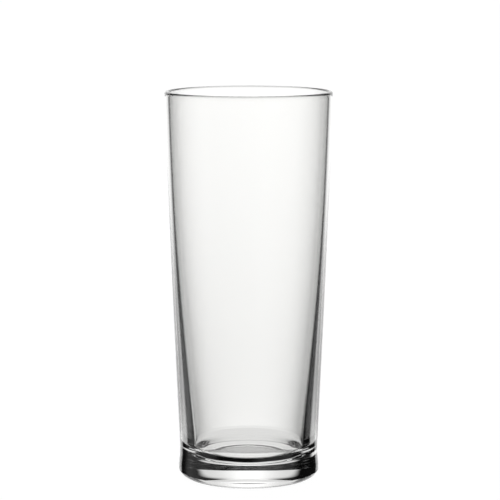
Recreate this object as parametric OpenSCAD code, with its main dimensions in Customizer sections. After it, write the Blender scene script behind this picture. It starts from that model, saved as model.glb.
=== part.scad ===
// Tall tapered pint glass, one piece of clear soda-lime glass.
// Millimetres, +Z up. The origin is on the axis of the glass in the plane it stands on.
// The whole solid is one closed half section turned about the axis: domed underside,
// flat standing ring, rounded heel, short flared foot, tapered wall, round lip, and
// a cavity whose wall thickens downwards and runs out into a shallow dished floor.

/* [Overall] */

// Height from the table to the top of the lip
glass_h = 184; // [170:1:200]
// Outside diameter across the lip
lip_d = 79; // [76:0.5:90]
// Outside diameter at the waist, the narrowest part, just above the foot
waist_d = 65.8; // [62:0.2:66.4]
// Outside diameter of the foot
foot_d = 66.8; // [66.4:0.2:70]

/* [Wall] */

// Glass thickness at the lip, which is also the diameter of its rounded edge
lip_t = 2.2; // [1.6:0.1:3]
// Glass thickness where the wall meets the inside corner
foot_wall_t = 6.7; // [4:0.1:8]
// Height below which the wall starts to thicken
thicken_h = 160; // [120:1:168]
// How late the thickening comes on, going down
thicken_late = 2.2; // [1.5:0.1:3]
// How early it is complete, going down
thicken_full = 1.25; // [1:0.05:2]
// Outward bow of the tapered wall at half its height
wall_bow = 0.33; // [0:0.01:1]

/* [Foot] */

// Height of the edge where the foot turns in to the heel
heel_h = 3.4; // [2.5:0.1:4]
// Radius of the rounded heel below that edge
heel_r = 5.9; // [4.6:0.1:7]
// Height at which the foot has its full diameter, going up
foot_full_h = 5; // [4.2:0.1:6]
// Height at which the foot has run in to the waist
foot_end_h = 12.5; // [10:0.1:14]
// Height at which the tapered wall starts
waist_h = 16; // [14.5:0.1:18]

/* [Cavity floor] */

// Height at which the inside wall starts to turn in to the floor
corner_h = 18; // [17:0.5:24]
// Radius of the dished floor inside the corner
floor_r = 17; // [12:0.5:20]
// Height of the floor at that radius
floor_h = 10; // [8.5:0.1:14]
// Depth of the dish at its middle
floor_dip = 0.6; // [0:0.1:1.5]

/* [Underside] */

// Inner radius of the flat standing ring
ring_in_r = 24; // [18:0.5:25.5]
// Height of the hollow under the base at its middle
punt_h = 2; // [0.5:0.1:3]

/* [Hidden] */

// Straight steps that stand in for each curved run of the section
wall_steps = 36;
lip_steps = 12;
foot_steps = 10;
heel_steps = 8;
corner_steps = 14;
floor_steps = 8;
punt_steps = 10;

clear_glass = [0.90, 0.93, 0.92, 0.35];

lip_r = lip_d / 2;
waist_r = waist_d / 2;
foot_r = foot_d / 2;
lip_round = lip_t / 2;
lip_z = glass_h - lip_round;

// The heel is part of a circle that touches the table
heel_angle = acos(1 - heel_h / heel_r);
ring_out_r = foot_r - heel_r * sin(heel_angle);

// Radius of the sphere that forms the hollow under the base
punt_r = (ring_in_r * ring_in_r + punt_h * punt_h) / (2 * punt_h);

// 0 to 1 with level ends
function ease(t) = t * t * (3 - 2 * t);

// Outside radius of the tapered wall at height z
function wall_part(z) = (z - waist_h) / (lip_z - waist_h);
function outer_r(z) =
    let (t = max(0, wall_part(z)))
    waist_r + (lip_r - waist_r) * t + 4 * wall_bow * t * (1 - t);

// Outside radius of the foot at height z
function flare_part(z) = (foot_end_h - z) / (foot_end_h - foot_full_h);
function foot_at(z) = waist_r + (foot_r - waist_r) * ease(flare_part(z));

// Glass thickness at height z
function thick_part(z) = max(0, (thicken_h - z) / (thicken_h - corner_h));
function wall_t(z) =
    let (f = 1 - pow(1 - pow(thick_part(z), thicken_late), thicken_full))
    lip_t + (foot_wall_t - lip_t) * f;

function inner_r(z) = outer_r(z) - wall_t(z);

corner_r = inner_r(corner_h);

// Points of the half section, each as [radius, height], from the axis outwards and up
punt_pts = [
    for (i = [0:punt_steps])
    let (r = ring_in_r * i / punt_steps)
    [r, punt_h - punt_r + sqrt(punt_r * punt_r - r * r)]
];

heel_pts = [
    for (i = [0:heel_steps])
    let (a = heel_angle * i / heel_steps)
    [ring_out_r + heel_r * sin(a), heel_r * (1 - cos(a))]
];

foot_pts = [
    for (i = [0:foot_steps])
    let (z = foot_full_h + (foot_end_h - foot_full_h) * i / foot_steps)
    [foot_at(z), z]
];

outer_pts = [
    for (i = [0:wall_steps - 1])
    let (z = waist_h + (lip_z - waist_h) * i / wall_steps)
    [outer_r(z), z]
];

lip_pts = [
    for (i = [0:lip_steps])
    let (a = 180 * i / lip_steps)
    [lip_r - lip_round + lip_round * cos(a), lip_z + lip_round * sin(a)]
];

inner_pts = [
    for (i = [1:wall_steps])
    let (z = lip_z + (corner_h - lip_z) * i / wall_steps)
    [inner_r(z), z]
];

corner_pts = [
    for (i = [1:corner_steps])
    let (a = 90 * i / corner_steps)
    [floor_r + (corner_r - floor_r) * cos(a), corner_h - (corner_h - floor_h) * sin(a)]
];

floor_pts = [
    for (i = [1:floor_steps])
    let (r = floor_r * (1 - i / floor_steps))
    [r, floor_h - floor_dip * (1 + cos(180 * r / floor_r)) / 2]
];

module half_section()
{
    polygon(concat(
        punt_pts,
        heel_pts,
        foot_pts,
        outer_pts,
        lip_pts,
        inner_pts,
        corner_pts,
        floor_pts
    ));
}

module glass()
{
    color(clear_glass)
    rotate_extrude($fn = 180)
    half_section();
}

glass();
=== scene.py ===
"""Clear pint glass on a pale floor: an add-on with one tool for the glass and one for the stage."""

from math import acos, ceil, cos, hypot, pi, radians, sin, sqrt

import bmesh
import bpy
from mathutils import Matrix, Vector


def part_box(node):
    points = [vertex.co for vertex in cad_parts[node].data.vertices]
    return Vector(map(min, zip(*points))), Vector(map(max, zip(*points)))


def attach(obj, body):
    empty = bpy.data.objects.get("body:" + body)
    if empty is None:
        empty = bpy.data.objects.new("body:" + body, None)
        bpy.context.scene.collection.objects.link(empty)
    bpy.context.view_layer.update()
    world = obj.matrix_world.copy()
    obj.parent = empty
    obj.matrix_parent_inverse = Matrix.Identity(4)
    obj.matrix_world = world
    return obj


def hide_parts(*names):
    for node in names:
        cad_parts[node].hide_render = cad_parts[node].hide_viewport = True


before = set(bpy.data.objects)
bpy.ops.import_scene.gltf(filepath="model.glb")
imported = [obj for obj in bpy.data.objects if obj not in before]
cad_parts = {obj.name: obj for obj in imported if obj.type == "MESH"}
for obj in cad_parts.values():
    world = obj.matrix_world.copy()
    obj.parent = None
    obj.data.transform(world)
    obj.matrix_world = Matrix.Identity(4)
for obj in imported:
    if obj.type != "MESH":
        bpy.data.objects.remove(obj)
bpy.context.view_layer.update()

bl_info = {
    "name": "Pint Glass",
    "version": (1, 0, 0),
    "blender": (4, 5, 0),
    "location": "View3D > Sidebar > Pint Glass",
    "description": "Turns a clear pint glass from its section and sets up a plain white stage for it",
    "category": "Add Mesh",
}

MM = 0.001

GLASS_LOW, GLASS_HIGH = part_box("glass")
GLASS_HEIGHT = GLASS_HIGH[2] - GLASS_LOW[2]
LIP_WIDTH = GLASS_HIGH[0] - GLASS_LOW[0]


# ---------------------------------------------------------------------------------------------
# Sizes and colours that a user would change
# ---------------------------------------------------------------------------------------------


def length(name, description, default):
    """A length property in metres."""
    return bpy.props.FloatProperty(
        name=name, description=description, default=default, min=0.0, precision=5, unit="LENGTH"
    )


def amount(name, description, default, low=0.0, high=1000.0):
    """A plain number property."""
    return bpy.props.FloatProperty(
        name=name, description=description, default=default, min=low, max=high, precision=4
    )


def angle(name, description, default):
    """An angle property, with the default given in degrees."""
    return bpy.props.FloatProperty(
        name=name, description=description, default=radians(default), subtype="ANGLE", unit="ROTATION"
    )


class GlassSizes(bpy.types.PropertyGroup):
    """The driving sizes of the turned section."""

    height: length("Height", "From the table to the top of the lip", GLASS_HEIGHT)
    lip_width: length("Lip width", "Outside diameter across the lip", LIP_WIDTH)
    waist_width: length("Waist width", "Outside diameter just above the foot", 65.8 * MM)
    foot_width: length("Foot width", "Outside diameter of the foot", 66.8 * MM)
    lip_wall: length("Lip wall", "Thickness at the lip, rounded over", 2.2 * MM)
    foot_wall: length("Foot wall", "Thickness of the wall at the inside corner", 6.7 * MM)
    thicken_height: length("Thickening height", "Below this the wall thickens", 160 * MM)
    thicken_late: amount("Thickening start", "How late the thickening comes on, going down", 2.2)
    thicken_full: amount("Thickening end", "How early it is complete, going down", 1.25)
    wall_bow: length("Wall bow", "Outward bow of the wall at half height", 0.33 * MM)
    heel_height: length("Heel height", "Height of the edge above the rounded heel", 3.4 * MM)
    heel_radius: length("Heel radius", "Radius of the rounded heel", 5.9 * MM)
    foot_full: length("Foot full height", "Height where the foot has its full width", 5.0 * MM)
    foot_end: length("Foot end height", "Height where the foot has run in to the waist", 12.5 * MM)
    waist_height: length("Waist height", "Height where the tapered wall starts", 16 * MM)
    corner_height: length("Corner height", "Height where the inside wall turns in", 18 * MM)
    floor_radius: length("Floor radius", "Radius of the dished floor", 17 * MM)
    floor_height: length("Floor height", "Height of the floor at that radius", 10 * MM)
    floor_dip: length("Floor dip", "Depth of the dish at its middle", 0.6 * MM)
    ring_inside: length("Ring inside", "Inner radius of the flat standing ring", 24 * MM)
    punt_height: length("Hollow height", "Height of the hollow under the base", 2 * MM)
    ring_gap: length("Ring gap", "Largest gap between neighbouring rings of the mesh", 1.6 * MM)
    segments: bpy.props.IntProperty(
        name="Segments", description="Faces in each ring of the mesh", default=280, min=24, max=720
    )


class GlassFinish(bpy.types.PropertyGroup):
    """The material of the glass."""

    tint: bpy.props.FloatVectorProperty(
        name="Tint", description="Colour of light that has passed through", subtype="COLOR",
        size=4, default=(1.0, 1.0, 0.992, 1.0), min=0.0, max=1.0,
    )
    ior: amount("Refraction", "Index of refraction of soda-lime glass", 1.52, 1.0, 3.0)
    haze: amount("Haze", "Roughness of the faint film left by washing and polishing", 0.012, 0.0, 1.0)
    ripple: length("Ripple", "Depth of the faint waves left in the surface", 0.004 * MM)


class StageSetup(bpy.types.PropertyGroup):
    """Camera, floor and light."""

    camera_distance: length("Camera distance", "Level distance from the axis of the glass", 1.0595)
    camera_height: length("Camera height", "Height of the lens above the floor", 0.2544)
    camera_pitch: angle("Camera pitch", "Downward tilt of the camera", 7.83)
    lens: amount("Lens", "Focal length in millimetres", 162.65, 1.0)
    shift: amount("Shift", "Sideways shift of the picture", 0.0026, -1.0, 1.0)
    floor_width: length("Floor width", "Width of the square floor", 40.0)
    floor_glow: amount("Floor glow", "Light that the white floor gives back evenly", 0.985)
    floor_shade: amount("Floor shade", "Share of the floor's light that can be shaded", 0.08)


# ---------------------------------------------------------------------------------------------
# The section of the glass
# ---------------------------------------------------------------------------------------------


# Straight steps that stand in for each curved run of the section
PUNT_STEPS = 24
HEEL_STEPS = 14
FOOT_STEPS = 14
LIP_STEPS = 16
CORNER_STEPS = 24
FLOOR_STEPS = 18
# Extra points this far from the ends of each long edge keep the shading of corners tight
GUARDS = (0.05 * MM, 0.2 * MM)
SHORTEST_EDGE = 0.001 * MM


def mix(a, b, t):
    """A straight blend from a to b."""
    return a + (b - a) * t


def ease(t):
    """0 to 1 with level ends."""
    return t * t * (3 - 2 * t)


def outer_radius(s, z):
    """Outside radius of the tapered wall at height z."""
    lip_z = s.height - s.lip_wall / 2
    t = max(0.0, (z - s.waist_height) / (lip_z - s.waist_height))
    return mix(s.waist_width, s.lip_width, t) / 2 + 4 * s.wall_bow * t * (1 - t)


def wall_at(s, z):
    """Thickness of the wall at height z."""
    t = max(0.0, (s.thicken_height - z) / (s.thicken_height - s.corner_height))
    return mix(s.lip_wall, s.foot_wall, 1 - (1 - t ** s.thicken_late) ** s.thicken_full)


def steps(count):
    """Even steps from 0 to 1, both included."""
    return [i / count for i in range(count + 1)]


def glass_section(s):
    """The closed half section: from the axis under the base, up to the lip and back to the axis."""
    runs = []
    punt_radius = (s.ring_inside ** 2 + s.punt_height ** 2) / (2 * s.punt_height)
    runs.append([
        (r, s.punt_height - punt_radius + sqrt(punt_radius ** 2 - r ** 2))
        for r in [s.ring_inside * t for t in steps(PUNT_STEPS)]
    ])
    heel_angle = acos(1 - s.heel_height / s.heel_radius)
    ring_outside = s.foot_width / 2 - s.heel_radius * sin(heel_angle)
    runs.append([
        (ring_outside + s.heel_radius * sin(a), s.heel_radius * (1 - cos(a)))
        for a in [heel_angle * t for t in steps(HEEL_STEPS)]
    ])
    runs.append([
        (mix(s.foot_width, s.waist_width, ease(t)) / 2, mix(s.foot_full, s.foot_end, t))
        for t in steps(FOOT_STEPS)
    ])
    lip_round = s.lip_wall / 2
    lip_z = s.height - lip_round
    wall_steps = ceil((lip_z - s.waist_height) / s.ring_gap)
    runs.append([
        (outer_radius(s, z), z)
        for z in [mix(s.waist_height, lip_z, t) for t in steps(wall_steps)]
    ])
    lip_middle = s.lip_width / 2 - lip_round
    runs.append([
        (lip_middle + lip_round * cos(pi * t), lip_z + lip_round * sin(pi * t))
        for t in steps(LIP_STEPS)
    ])
    runs.append([
        (outer_radius(s, z) - wall_at(s, z), z)
        for z in [mix(lip_z, s.corner_height, t) for t in steps(wall_steps)]
    ])
    corner_radius = runs[-1][-1][0]
    runs.append([
        (
            mix(s.floor_radius, corner_radius, cos(pi / 2 * t)),
            mix(s.corner_height, s.floor_height, sin(pi / 2 * t)),
        )
        for t in steps(CORNER_STEPS)
    ])
    runs.append([
        (s.floor_radius * (1 - t), s.floor_height - s.floor_dip * (1 - cos(pi * t)) / 2)
        for t in steps(FLOOR_STEPS)
    ])
    return [p for run in runs for p in run]


def spaced(points, gap):
    """The same outline with repeats dropped, long edges split, and close points at their ends."""
    out = [points[0]]
    for start, end in zip(points, points[1:]):
        run = hypot(end[0] - start[0], end[1] - start[1])
        if run < SHORTEST_EDGE:
            continue
        cuts = []
        if run > gap:
            count = ceil(run / gap)
            cuts = [g / run for g in GUARDS] + [i / count for i in range(1, count)]
            cuts += [1 - g / run for g in reversed(GUARDS)]
        out += [(mix(start[0], end[0], t), mix(start[1], end[1], t)) for t in cuts + [1.0]]
    return out


def section_object(points):
    """A chain of edges through the outline, in the XZ plane, for the turning tree."""
    mesh = bpy.data.meshes.new("glass_section")
    edges = [(i, i + 1) for i in range(len(points) - 1)]
    mesh.from_pydata([(r, 0.0, z) for r, z in points], edges, [])
    piece = bpy.data.objects.new("pint_glass", mesh)
    bpy.context.scene.collection.objects.link(piece)
    return piece


# ---------------------------------------------------------------------------------------------
# Node helpers
# ---------------------------------------------------------------------------------------------


# The faint waves in the skin: fineness, draw upwards, and the radius within which they fade out
RIPPLE_SCALE = 60.0
RIPPLE_DETAIL = 1.0
RIPPLE_STRETCH = (1.0, 1.0, 0.35)
RIPPLE_FADE = 20 * MM
RIPPLE_SEED = 4.0
# Points closer than this are joined, which closes the seam and the two poles
MERGE_GAP = 0.002 * MM
# Edges that turn by more degrees than this stay sharp
CREASE = 20


class Tree:
    """A thin wrapper that adds and links nodes."""

    def __init__(self, tree):
        self.tree = tree

    def add(self, kind, values=None, **settings):
        """A node with settings on it and values, sockets or numbers, on its inputs."""
        node = self.tree.nodes.new(kind)
        for key, value in settings.items():
            setattr(node, key, value)
        for key, value in (values or {}).items():
            if isinstance(value, bpy.types.NodeSocket):
                self.tree.links.new(value, node.inputs[key])
            else:
                node.inputs[key].default_value = value
        return node

    def math(self, operation, a, b=0.0, clamp=False):
        """The output of a Math node."""
        return self.add("ShaderNodeMath", {0: a, 1: b}, operation=operation, use_clamp=clamp).outputs[0]


def turned_tree():
    """The tree that turns a section about the Z axis and gives the skin its faint waves."""
    tree = bpy.data.node_groups.new("Turned glass", "GeometryNodeTree")
    tree.is_modifier = True
    face = tree.interface
    face.new_socket("Section", in_out="INPUT", socket_type="NodeSocketGeometry")
    face.new_socket("Segments", in_out="INPUT", socket_type="NodeSocketInt")
    face.new_socket("Ripple", in_out="INPUT", socket_type="NodeSocketFloat")
    face.new_socket("Ripple Seed", in_out="INPUT", socket_type="NodeSocketFloat")
    face.new_socket("Material", in_out="INPUT", socket_type="NodeSocketMaterial")
    face.new_socket("Glass", in_out="OUTPUT", socket_type="NodeSocketGeometry")
    t = Tree(tree)
    given = t.add("NodeGroupInput").outputs
    counted = t.add("GeometryNodeAttributeDomainSize", {"Geometry": given["Section"]})
    rings = counted.outputs["Point Count"]
    around = t.math("ADD", given["Segments"], 1.0)
    grid = t.add("GeometryNodeMeshGrid", {"Vertices X": rings, "Vertices Y": around})

    index = t.math("ADD", t.add("GeometryNodeInputIndex").outputs[0], 0.5)
    ring = t.math("FLOOR", t.math("DIVIDE", index, around))
    step = t.math("FLOOR", t.math("SUBTRACT", index, t.math("MULTIPLY", ring, around)))
    part = t.math("DIVIDE", t.math("MODULO", step, given["Segments"]), given["Segments"])
    turn = t.math("MULTIPLY", part, 2 * pi)
    sample = t.add("GeometryNodeSampleIndex", {
        "Geometry": given["Section"],
        "Index": ring,
    }, data_type="FLOAT_VECTOR")
    place = t.add("GeometryNodeInputPosition").outputs[0]
    tree.links.new(place, next(s for s in sample.inputs if s.name == "Value" and s.enabled))
    point = t.add("ShaderNodeSeparateXYZ", {0: next(s for s in sample.outputs if s.enabled)}).outputs

    side = t.add("ShaderNodeCombineXYZ", {
        "X": t.math("COSINE", turn),
        "Y": t.math("SINE", turn),
    }).outputs[0]
    bare = t.add("ShaderNodeVectorMath", {0: side, "Scale": point["X"]}, operation="SCALE").outputs[0]
    lifted = t.add("ShaderNodeCombineXYZ", {"Z": point["Z"]}).outputs[0]
    spot = t.add("ShaderNodeVectorMath", {0: bare, 1: lifted}, operation="ADD").outputs[0]
    stretched = t.add("ShaderNodeVectorMath", {
        0: spot,
        1: RIPPLE_STRETCH,
    }, operation="MULTIPLY").outputs[0]
    noise = t.add("ShaderNodeTexNoise", {
        "Vector": stretched,
        "W": given["Ripple Seed"],
        "Scale": RIPPLE_SCALE,
        "Detail": RIPPLE_DETAIL,
    }, noise_dimensions="4D").outputs[0]
    swing = t.math("SUBTRACT", noise, 0.5)
    fade = t.math("MULTIPLY", point["X"], 1 / RIPPLE_FADE, clamp=True)
    wave = t.math("MULTIPLY", t.math("MULTIPLY", swing, given["Ripple"]), fade)
    shift = t.add("ShaderNodeVectorMath", {0: side, "Scale": wave}, operation="SCALE").outputs[0]
    final = t.add("ShaderNodeVectorMath", {0: spot, 1: shift}, operation="ADD").outputs[0]

    skin = t.add("GeometryNodeSetPosition", {"Geometry": grid.outputs["Mesh"], "Position": final})
    closed = t.add("GeometryNodeMergeByDistance", {
        "Geometry": skin.outputs[0],
        "Distance": MERGE_GAP,
    })
    smooth = t.add("GeometryNodeSetShadeSmooth", {"Geometry": closed.outputs[0], "Shade Smooth": True})
    real = t.add("GeometryNodeRealizeInstances", {"Geometry": smooth.outputs[0]})
    made = t.add("GeometryNodeSetMaterial", {
        "Geometry": real.outputs[0],
        "Material": given["Material"],
    })
    t.add("NodeGroupOutput", {"Glass": made.outputs[0]})
    return tree


def run_tree(piece, tree, values):
    """Runs a tree on a piece, with inputs given by name, and leaves the result as its plain mesh."""
    modifier = piece.modifiers.new(tree.name, "NODES")
    modifier.node_group = tree
    for item in tree.interface.items_tree:
        if item.item_type == "SOCKET" and item.in_out == "INPUT" and item.name in values:
            modifier[item.identifier] = values[item.name]
    graph = bpy.context.evaluated_depsgraph_get()
    graph.update()
    made = bpy.data.meshes.new_from_object(piece.evaluated_get(graph))
    made.name = piece.name
    piece.modifiers.remove(modifier)
    spare = piece.data
    piece.data = made
    bpy.data.meshes.remove(spare)


def face_outwards(piece, crease):
    """Turns every face outwards and keeps edges sharper than the crease angle sharp."""
    body = bmesh.new()
    body.from_mesh(piece.data)
    bmesh.ops.recalc_face_normals(body, faces=body.faces)
    if body.calc_volume(signed=True) < 0:
        bmesh.ops.reverse_faces(body, faces=body.faces)
    loose = [e for e in body.edges if not e.is_manifold]
    if loose:
        raise RuntimeError(f"{piece.name} is not closed: {len(loose)} open edges")
    body.to_mesh(piece.data)
    body.free()
    piece.data.set_sharp_from_angle(angle=crease)


# ---------------------------------------------------------------------------------------------
# Materials
# ---------------------------------------------------------------------------------------------


# The film of haze: fineness, draw upwards, and the part of the noise that it spans
FILM_SCALE = 45.0
FILM_DETAIL = 4.0
FILM_STRETCH = (1.0, 1.0, 0.4)
FILM_FROM = 0.45
FILM_TO = 0.8


def clear_glass(finish):
    """Clear glass with a faint tint and a trace of haze. The waves are in the shape."""
    material = bpy.data.materials.new("clear_glass")
    material.use_nodes = True
    t = Tree(material.node_tree)
    material.node_tree.nodes.clear()
    place = t.add("ShaderNodeTexCoord").outputs["Object"]
    drawn = t.add("ShaderNodeMapping", {"Vector": place, "Scale": FILM_STRETCH}).outputs[0]
    film = t.add("ShaderNodeTexNoise", {
        "Vector": drawn,
        "Scale": FILM_SCALE,
        "Detail": FILM_DETAIL,
    }).outputs["Fac"]
    haze = t.add("ShaderNodeMapRange", {
        "Value": film,
        "From Min": FILM_FROM,
        "From Max": FILM_TO,
        "To Min": 0.0,
        "To Max": finish.haze,
    }).outputs[0]
    shader = t.add("ShaderNodeBsdfPrincipled", {
        "Base Color": tuple(finish.tint),
        "IOR": finish.ior,
        "Transmission Weight": 1.0,
        "Roughness": haze,
    })
    t.add("ShaderNodeOutputMaterial", {"Surface": shader.outputs[0]})
    return material


def white_floor(stage):
    """Even white with a small share that takes soft shade."""
    material = bpy.data.materials.new("white_floor")
    material.use_nodes = True
    t = Tree(material.node_tree)
    material.node_tree.nodes.clear()
    glow = t.add("ShaderNodeEmission", {"Color": (1, 1, 1, 1), "Strength": stage.floor_glow}).outputs[0]
    tone = (stage.floor_shade, stage.floor_shade, stage.floor_shade, 1)
    matt = t.add("ShaderNodeBsdfDiffuse", {"Color": tone}).outputs[0]
    both = t.add("ShaderNodeAddShader", {0: glow, 1: matt}).outputs[0]
    t.add("ShaderNodeOutputMaterial", {"Surface": both})
    return material


# ---------------------------------------------------------------------------------------------
# Light tent
# ---------------------------------------------------------------------------------------------

# The tent is dark inside and lit by white panels. Bearings are counted in degrees from +Y, straight
# behind the glass, towards +X. Rises are degrees above the level. The dark between the panels draws
# the outline of the glass. The light is set for looks, and no real studio could give it: light
# mirrored off the outside, light seen through the glass and the white ground behind it are set apart.

# The large panel straight behind the glass: half its width and its lowest rise below the level, and
# half its width and its height above the level, where it is rounded
MAIN_PANEL = {"half": 31, "low": -20, "reach": 34, "rise": 29}
# Its light in the middle and at the sides, and how fast it falls off sideways
MAIN_PANEL_MIDDLE = 1.17
MAIN_PANEL_SIDE = 0.70
MAIN_PANEL_SPREAD = 14
# The light it loses low down, and the rises between which it loses it
MAIN_PANEL_DROP = 0.13
MAIN_PANEL_DROP_LOW = -14
MAIN_PANEL_DROP_HIGH = -4
# The soft rim of its rounded top, as shares of its size, and its other soft edges in degrees
MAIN_PANEL_RIM_IN = 0.88
MAIN_PANEL_RIM_OUT = 1.12
MAIN_PANEL_JOIN = 3
MAIN_PANEL_FOOT = 4
PANEL_EDGE = 4.0

# Each panel is (bearing, half width, sideways edge, lowest rise, highest rise, upright edge, level).
# The far panels light only what is seen straight through, with no mirroring inside the glass. They
# lighten three views round the glass. From straight behind and from above the glass stays dark.
FAR_PANELS = [
    (-90, 33, 6.0, -26, 12, 3.0, 1.05),
    (135, 33, 6.0, -26, 12, 3.0, 1.05),
    (-53, 21, 3.0, -36, -15, 2.0, 0.90),
]
# The side panels light everything that leaves through the glass, as the main panel does
SIDE_PANELS = [
    (0, 26, 6.0, -57, -20, 3.0, 0.72),
    (0, 10, 6.0, -55, -20, 3.0, 0.10),
    (0, 45, 5.0, 36, 66, 3.0, 0.35),
    (115, 18, 3.0, 40, 47, 1.5, 0.30),
    (-115, 18, 3.0, 40, 47, 1.5, 0.30),
]
DARK = 0.002
# Glossy Depth is a whole number, so less than this means none
NO_MIRRORING = 0.5

# What the outside of the glass mirrors: a bright floor below this rise, and above it upright panels,
# each (bearing, half width, edge, level), on a nearly dark ground
FLOOR_RISE = -17.5
FLOOR_EDGE = 1
MIRRORED_PANELS = [(0, 33, 4, 1.0), (-90, 33, 12, 0.4), (135, 33, 12, 0.4)]
MIRRORED_PANEL_LEVEL = 1.1
MIRRORED_FLOOR_LEVEL = 1.1
MIRRORED_REST = 0.02


def soft_step(t, value, start, end):
    """0 below start, 1 above end and a soft rise between, with start and end in degrees."""
    return t.add("ShaderNodeMapRange", {
        "Value": value,
        "From Min": radians(start),
        "From Max": radians(end),
        "To Min": 0.0,
        "To Max": 1.0,
    }, interpolation_type="SMOOTHSTEP").outputs[0]


def total(t, values):
    """The sum of several values."""
    out = values[0]
    for value in values[1:]:
        out = t.math("ADD", out, value)
    return out


def product(t, values):
    """The product of several values."""
    out = values[0]
    for value in values[1:]:
        out = t.math("MULTIPLY", out, value)
    return out


def inverse(t, value):
    """One less the value."""
    return t.math("SUBTRACT", 1.0, value)


def across(t, bearing, middle, half, edge):
    """1 within half a panel's width of its middle bearing, with soft edges."""
    turned = t.math("SUBTRACT", bearing, radians(middle))
    wrapped = t.add("ShaderNodeMath", {0: turned, 1: pi, 2: -pi}, operation="WRAP").outputs[0]
    away = t.math("ABSOLUTE", wrapped)
    return inverse(t, soft_step(t, away, half - edge, half + edge))


def between(t, rise, low, high, edge):
    """1 where the angle above the level lies between low and high, with soft edges."""
    return t.math(
        "MULTIPLY",
        soft_step(t, rise, low - edge, low + edge),
        inverse(t, soft_step(t, rise, high - edge, high + edge)),
    )


def main_panel(t, bearing, rise):
    """The large panel: straight sides below the level, a rounded top, brightest in the middle."""
    panel = MAIN_PANEL
    lower = across(t, bearing, 0, panel["half"], PANEL_EDGE)
    wide = t.math("DIVIDE", bearing, radians(panel["reach"]))
    tall = t.math("DIVIDE", rise, radians(panel["rise"]))
    wide_squared = t.math("POWER", t.math("ABSOLUTE", wide), 2.0)
    away = t.math("SQRT", t.math("ADD", wide_squared, t.math("MULTIPLY", tall, tall)))
    upper = t.add("ShaderNodeMapRange", {
        "Value": away,
        "From Min": MAIN_PANEL_RIM_IN,
        "From Max": MAIN_PANEL_RIM_OUT,
        "To Min": 1.0,
        "To Max": 0.0,
    }, interpolation_type="SMOOTHSTEP").outputs[0]
    above = soft_step(t, rise, -MAIN_PANEL_JOIN, MAIN_PANEL_JOIN)
    shape = t.add("ShaderNodeMix", {
        "Factor": above,
        "A": lower,
        "B": upper,
    }, data_type="FLOAT").outputs[0]
    foot = soft_step(t, rise, panel["low"] - MAIN_PANEL_FOOT, panel["low"] + MAIN_PANEL_FOOT)
    off = t.math("DIVIDE", bearing, radians(MAIN_PANEL_SPREAD))
    bell = t.math("EXPONENT", t.math("MULTIPLY", t.math("MULTIPLY", off, off), -1.0))
    level = t.add("ShaderNodeMapRange", {
        "Value": bell,
        "From Min": 0.0,
        "From Max": 1.0,
        "To Min": MAIN_PANEL_SIDE,
        "To Max": MAIN_PANEL_MIDDLE,
    }).outputs[0]
    drop = t.add("ShaderNodeMapRange", {
        "Value": rise,
        "From Min": radians(MAIN_PANEL_DROP_LOW),
        "From Max": radians(MAIN_PANEL_DROP_HIGH),
        "To Min": MAIN_PANEL_DROP,
        "To Max": 0.0,
    }).outputs[0]
    return product(t, [shape, foot, t.math("SUBTRACT", level, drop)])


def panel_light(t, bearing, rise, panel):
    """The light of a plain panel with soft edges."""
    middle, half, side_edge, low, high, edge, level = panel
    wide = across(t, bearing, middle, half, side_edge)
    tall = between(t, rise, low, high, edge)
    return product(t, [wide, tall, level])


def light_tent():
    """The light all round: plain white behind the glass, and a tent of panels for the glass itself."""
    world = bpy.data.worlds.new("light_tent")
    bpy.context.scene.world = world
    world.use_nodes = True
    tree = world.node_tree
    tree.nodes.clear()
    t = Tree(tree)
    direction = t.add("ShaderNodeTexCoord").outputs["Generated"]
    way = t.add("ShaderNodeSeparateXYZ", {0: direction}).outputs
    bearing = t.math("ARCTAN2", way["X"], way["Y"])
    rise = t.math("ARCSINE", way["Z"])

    panels = [main_panel(t, bearing, rise)]
    panels += [panel_light(t, bearing, rise, panel) for panel in SIDE_PANELS]
    path = t.add("ShaderNodeLightPath").outputs
    straight = t.math("LESS_THAN", path["Glossy Depth"], NO_MIRRORING)
    through = t.math("ADD", total(t, panels), DARK)
    for panel in FAR_PANELS:
        far = t.math("MULTIPLY", panel_light(t, bearing, rise, panel), straight)
        through = t.math("MAXIMUM", through, far)

    above_floor = soft_step(t, rise, FLOOR_RISE - FLOOR_EDGE, FLOOR_RISE + FLOOR_EDGE)
    lit = total(t, [
        t.math("MULTIPLY", across(t, bearing, middle, half, edge), level)
        for middle, half, edge, level in MIRRORED_PANELS
    ])
    mirrored = t.add("ShaderNodeMix", {
        "Factor": above_floor,
        "A": MIRRORED_FLOOR_LEVEL,
        "B": t.math("ADD", t.math("MULTIPLY", lit, MIRRORED_PANEL_LEVEL), MIRRORED_REST),
    }, data_type="FLOAT").outputs[0]

    inside = t.add("ShaderNodeMix", {
        "Factor": path["Is Reflection Ray"], "A": through, "B": mirrored,
    }, data_type="FLOAT").outputs[0]
    strength = t.add("ShaderNodeMix", {
        "Factor": path["Is Camera Ray"],
        "A": inside,
        "B": 1.0,
    }, data_type="FLOAT").outputs[0]
    light = t.add("ShaderNodeBackground", {"Color": (1, 1, 1, 1), "Strength": strength})
    t.add("ShaderNodeOutputWorld", {"Surface": light.outputs[0]})


# ---------------------------------------------------------------------------------------------
# Operators
# ---------------------------------------------------------------------------------------------

SENSOR_WIDTH = 36.0
VIEW_END = 100.0
# The most surfaces that light is followed through and mirrored by
THROUGH_BOUNCES = 24
MIRROR_BOUNCES = 16


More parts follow.
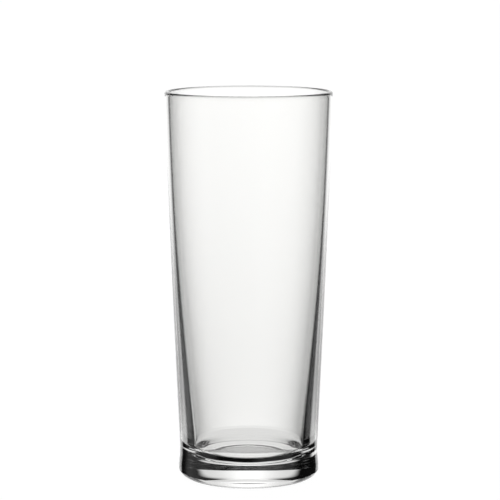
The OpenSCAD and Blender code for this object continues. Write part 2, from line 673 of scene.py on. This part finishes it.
class MakeGlass(bpy.types.Operator):
    """Turn the glass from its section and give it clear glass"""

    bl_idname = "pint_glass.make_glass"
    bl_label = "Make Glass"

    def execute(self, context):
        sizes = context.scene.pint_glass_sizes
        finish = context.scene.pint_glass_finish
        outline = spaced(glass_section(sizes), sizes.ring_gap)
        piece = section_object(outline)
        run_tree(piece, turned_tree(), {
            "Segments": sizes.segments,
            "Ripple": finish.ripple,
            "Ripple Seed": RIPPLE_SEED,
            "Material": clear_glass(finish),
        })
        face_outwards(piece, radians(CREASE))
        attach(piece, "root")
        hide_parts("glass")
        return {"FINISHED"}


class SetStage(bpy.types.Operator):
    """Set the camera, the white floor and the light tent"""

    bl_idname = "pint_glass.set_stage"
    bl_label = "Set Stage"

    def execute(self, context):
        scene = context.scene
        stage = scene.pint_glass_stage
        lens = bpy.data.cameras.new("camera")
        lens.sensor_width = SENSOR_WIDTH
        lens.lens = stage.lens
        lens.shift_x = stage.shift
        lens.clip_end = VIEW_END
        camera = bpy.data.objects.new("camera", lens)
        camera.location = (0.0, -stage.camera_distance, stage.camera_height)
        camera.rotation_euler = (pi / 2 - stage.camera_pitch, 0.0, 0.0)
        scene.collection.objects.link(camera)
        scene.camera = camera

        half = stage.floor_width / 2
        mesh = bpy.data.meshes.new("floor")
        corners = [(-half, -half, 0), (half, -half, 0), (half, half, 0), (-half, half, 0)]
        mesh.from_pydata(corners, [], [(0, 1, 2, 3)])
        mesh.materials.append(white_floor(stage))
        floor = bpy.data.objects.new("floor", mesh)
        # The glass neither mirrors the floor nor shows it, because the tent stands in for it
        floor.visible_glossy = False
        floor.visible_transmission = False
        scene.collection.objects.link(floor)

        light_tent()
        scene.view_settings.view_transform = "Standard"
        scene.cycles.max_bounces = THROUGH_BOUNCES
        scene.cycles.transmission_bounces = THROUGH_BOUNCES
        scene.cycles.glossy_bounces = MIRROR_BOUNCES
        return {"FINISHED"}


class GlassPanel(bpy.types.Panel):
    """The sidebar tab with the tools of the glass"""

    bl_idname = "VIEW3D_PT_pint_glass"
    bl_label = "Pint Glass"
    bl_space_type = "VIEW_3D"
    bl_region_type = "UI"
    bl_category = "Pint Glass"

    def draw(self, context):
        layout = self.layout
        for group in (
            context.scene.pint_glass_sizes,
            context.scene.pint_glass_finish,
            context.scene.pint_glass_stage,
        ):
            column = layout.column(align=True)
            for name in group.bl_rna.properties.keys():
                if name not in ("rna_type", "name"):
                    column.prop(group, name)
        layout.operator(MakeGlass.bl_idname)
        layout.operator(SetStage.bl_idname)


CLASSES = (GlassSizes, GlassFinish, StageSetup, MakeGlass, SetStage, GlassPanel)


def register():
    for item in CLASSES:
        bpy.utils.register_class(item)
    bpy.types.Scene.pint_glass_sizes = bpy.props.PointerProperty(type=GlassSizes)
    bpy.types.Scene.pint_glass_finish = bpy.props.PointerProperty(type=GlassFinish)
    bpy.types.Scene.pint_glass_stage = bpy.props.PointerProperty(type=StageSetup)


def unregister():
    del bpy.types.Scene.pint_glass_stage
    del bpy.types.Scene.pint_glass_finish
    del bpy.types.Scene.pint_glass_sizes
    for item in reversed(CLASSES):
        bpy.utils.unregister_class(item)


def main():
    register()
    bpy.ops.pint_glass.make_glass()
    bpy.ops.pint_glass.set_stage()


if __name__ == "__main__":
    main()
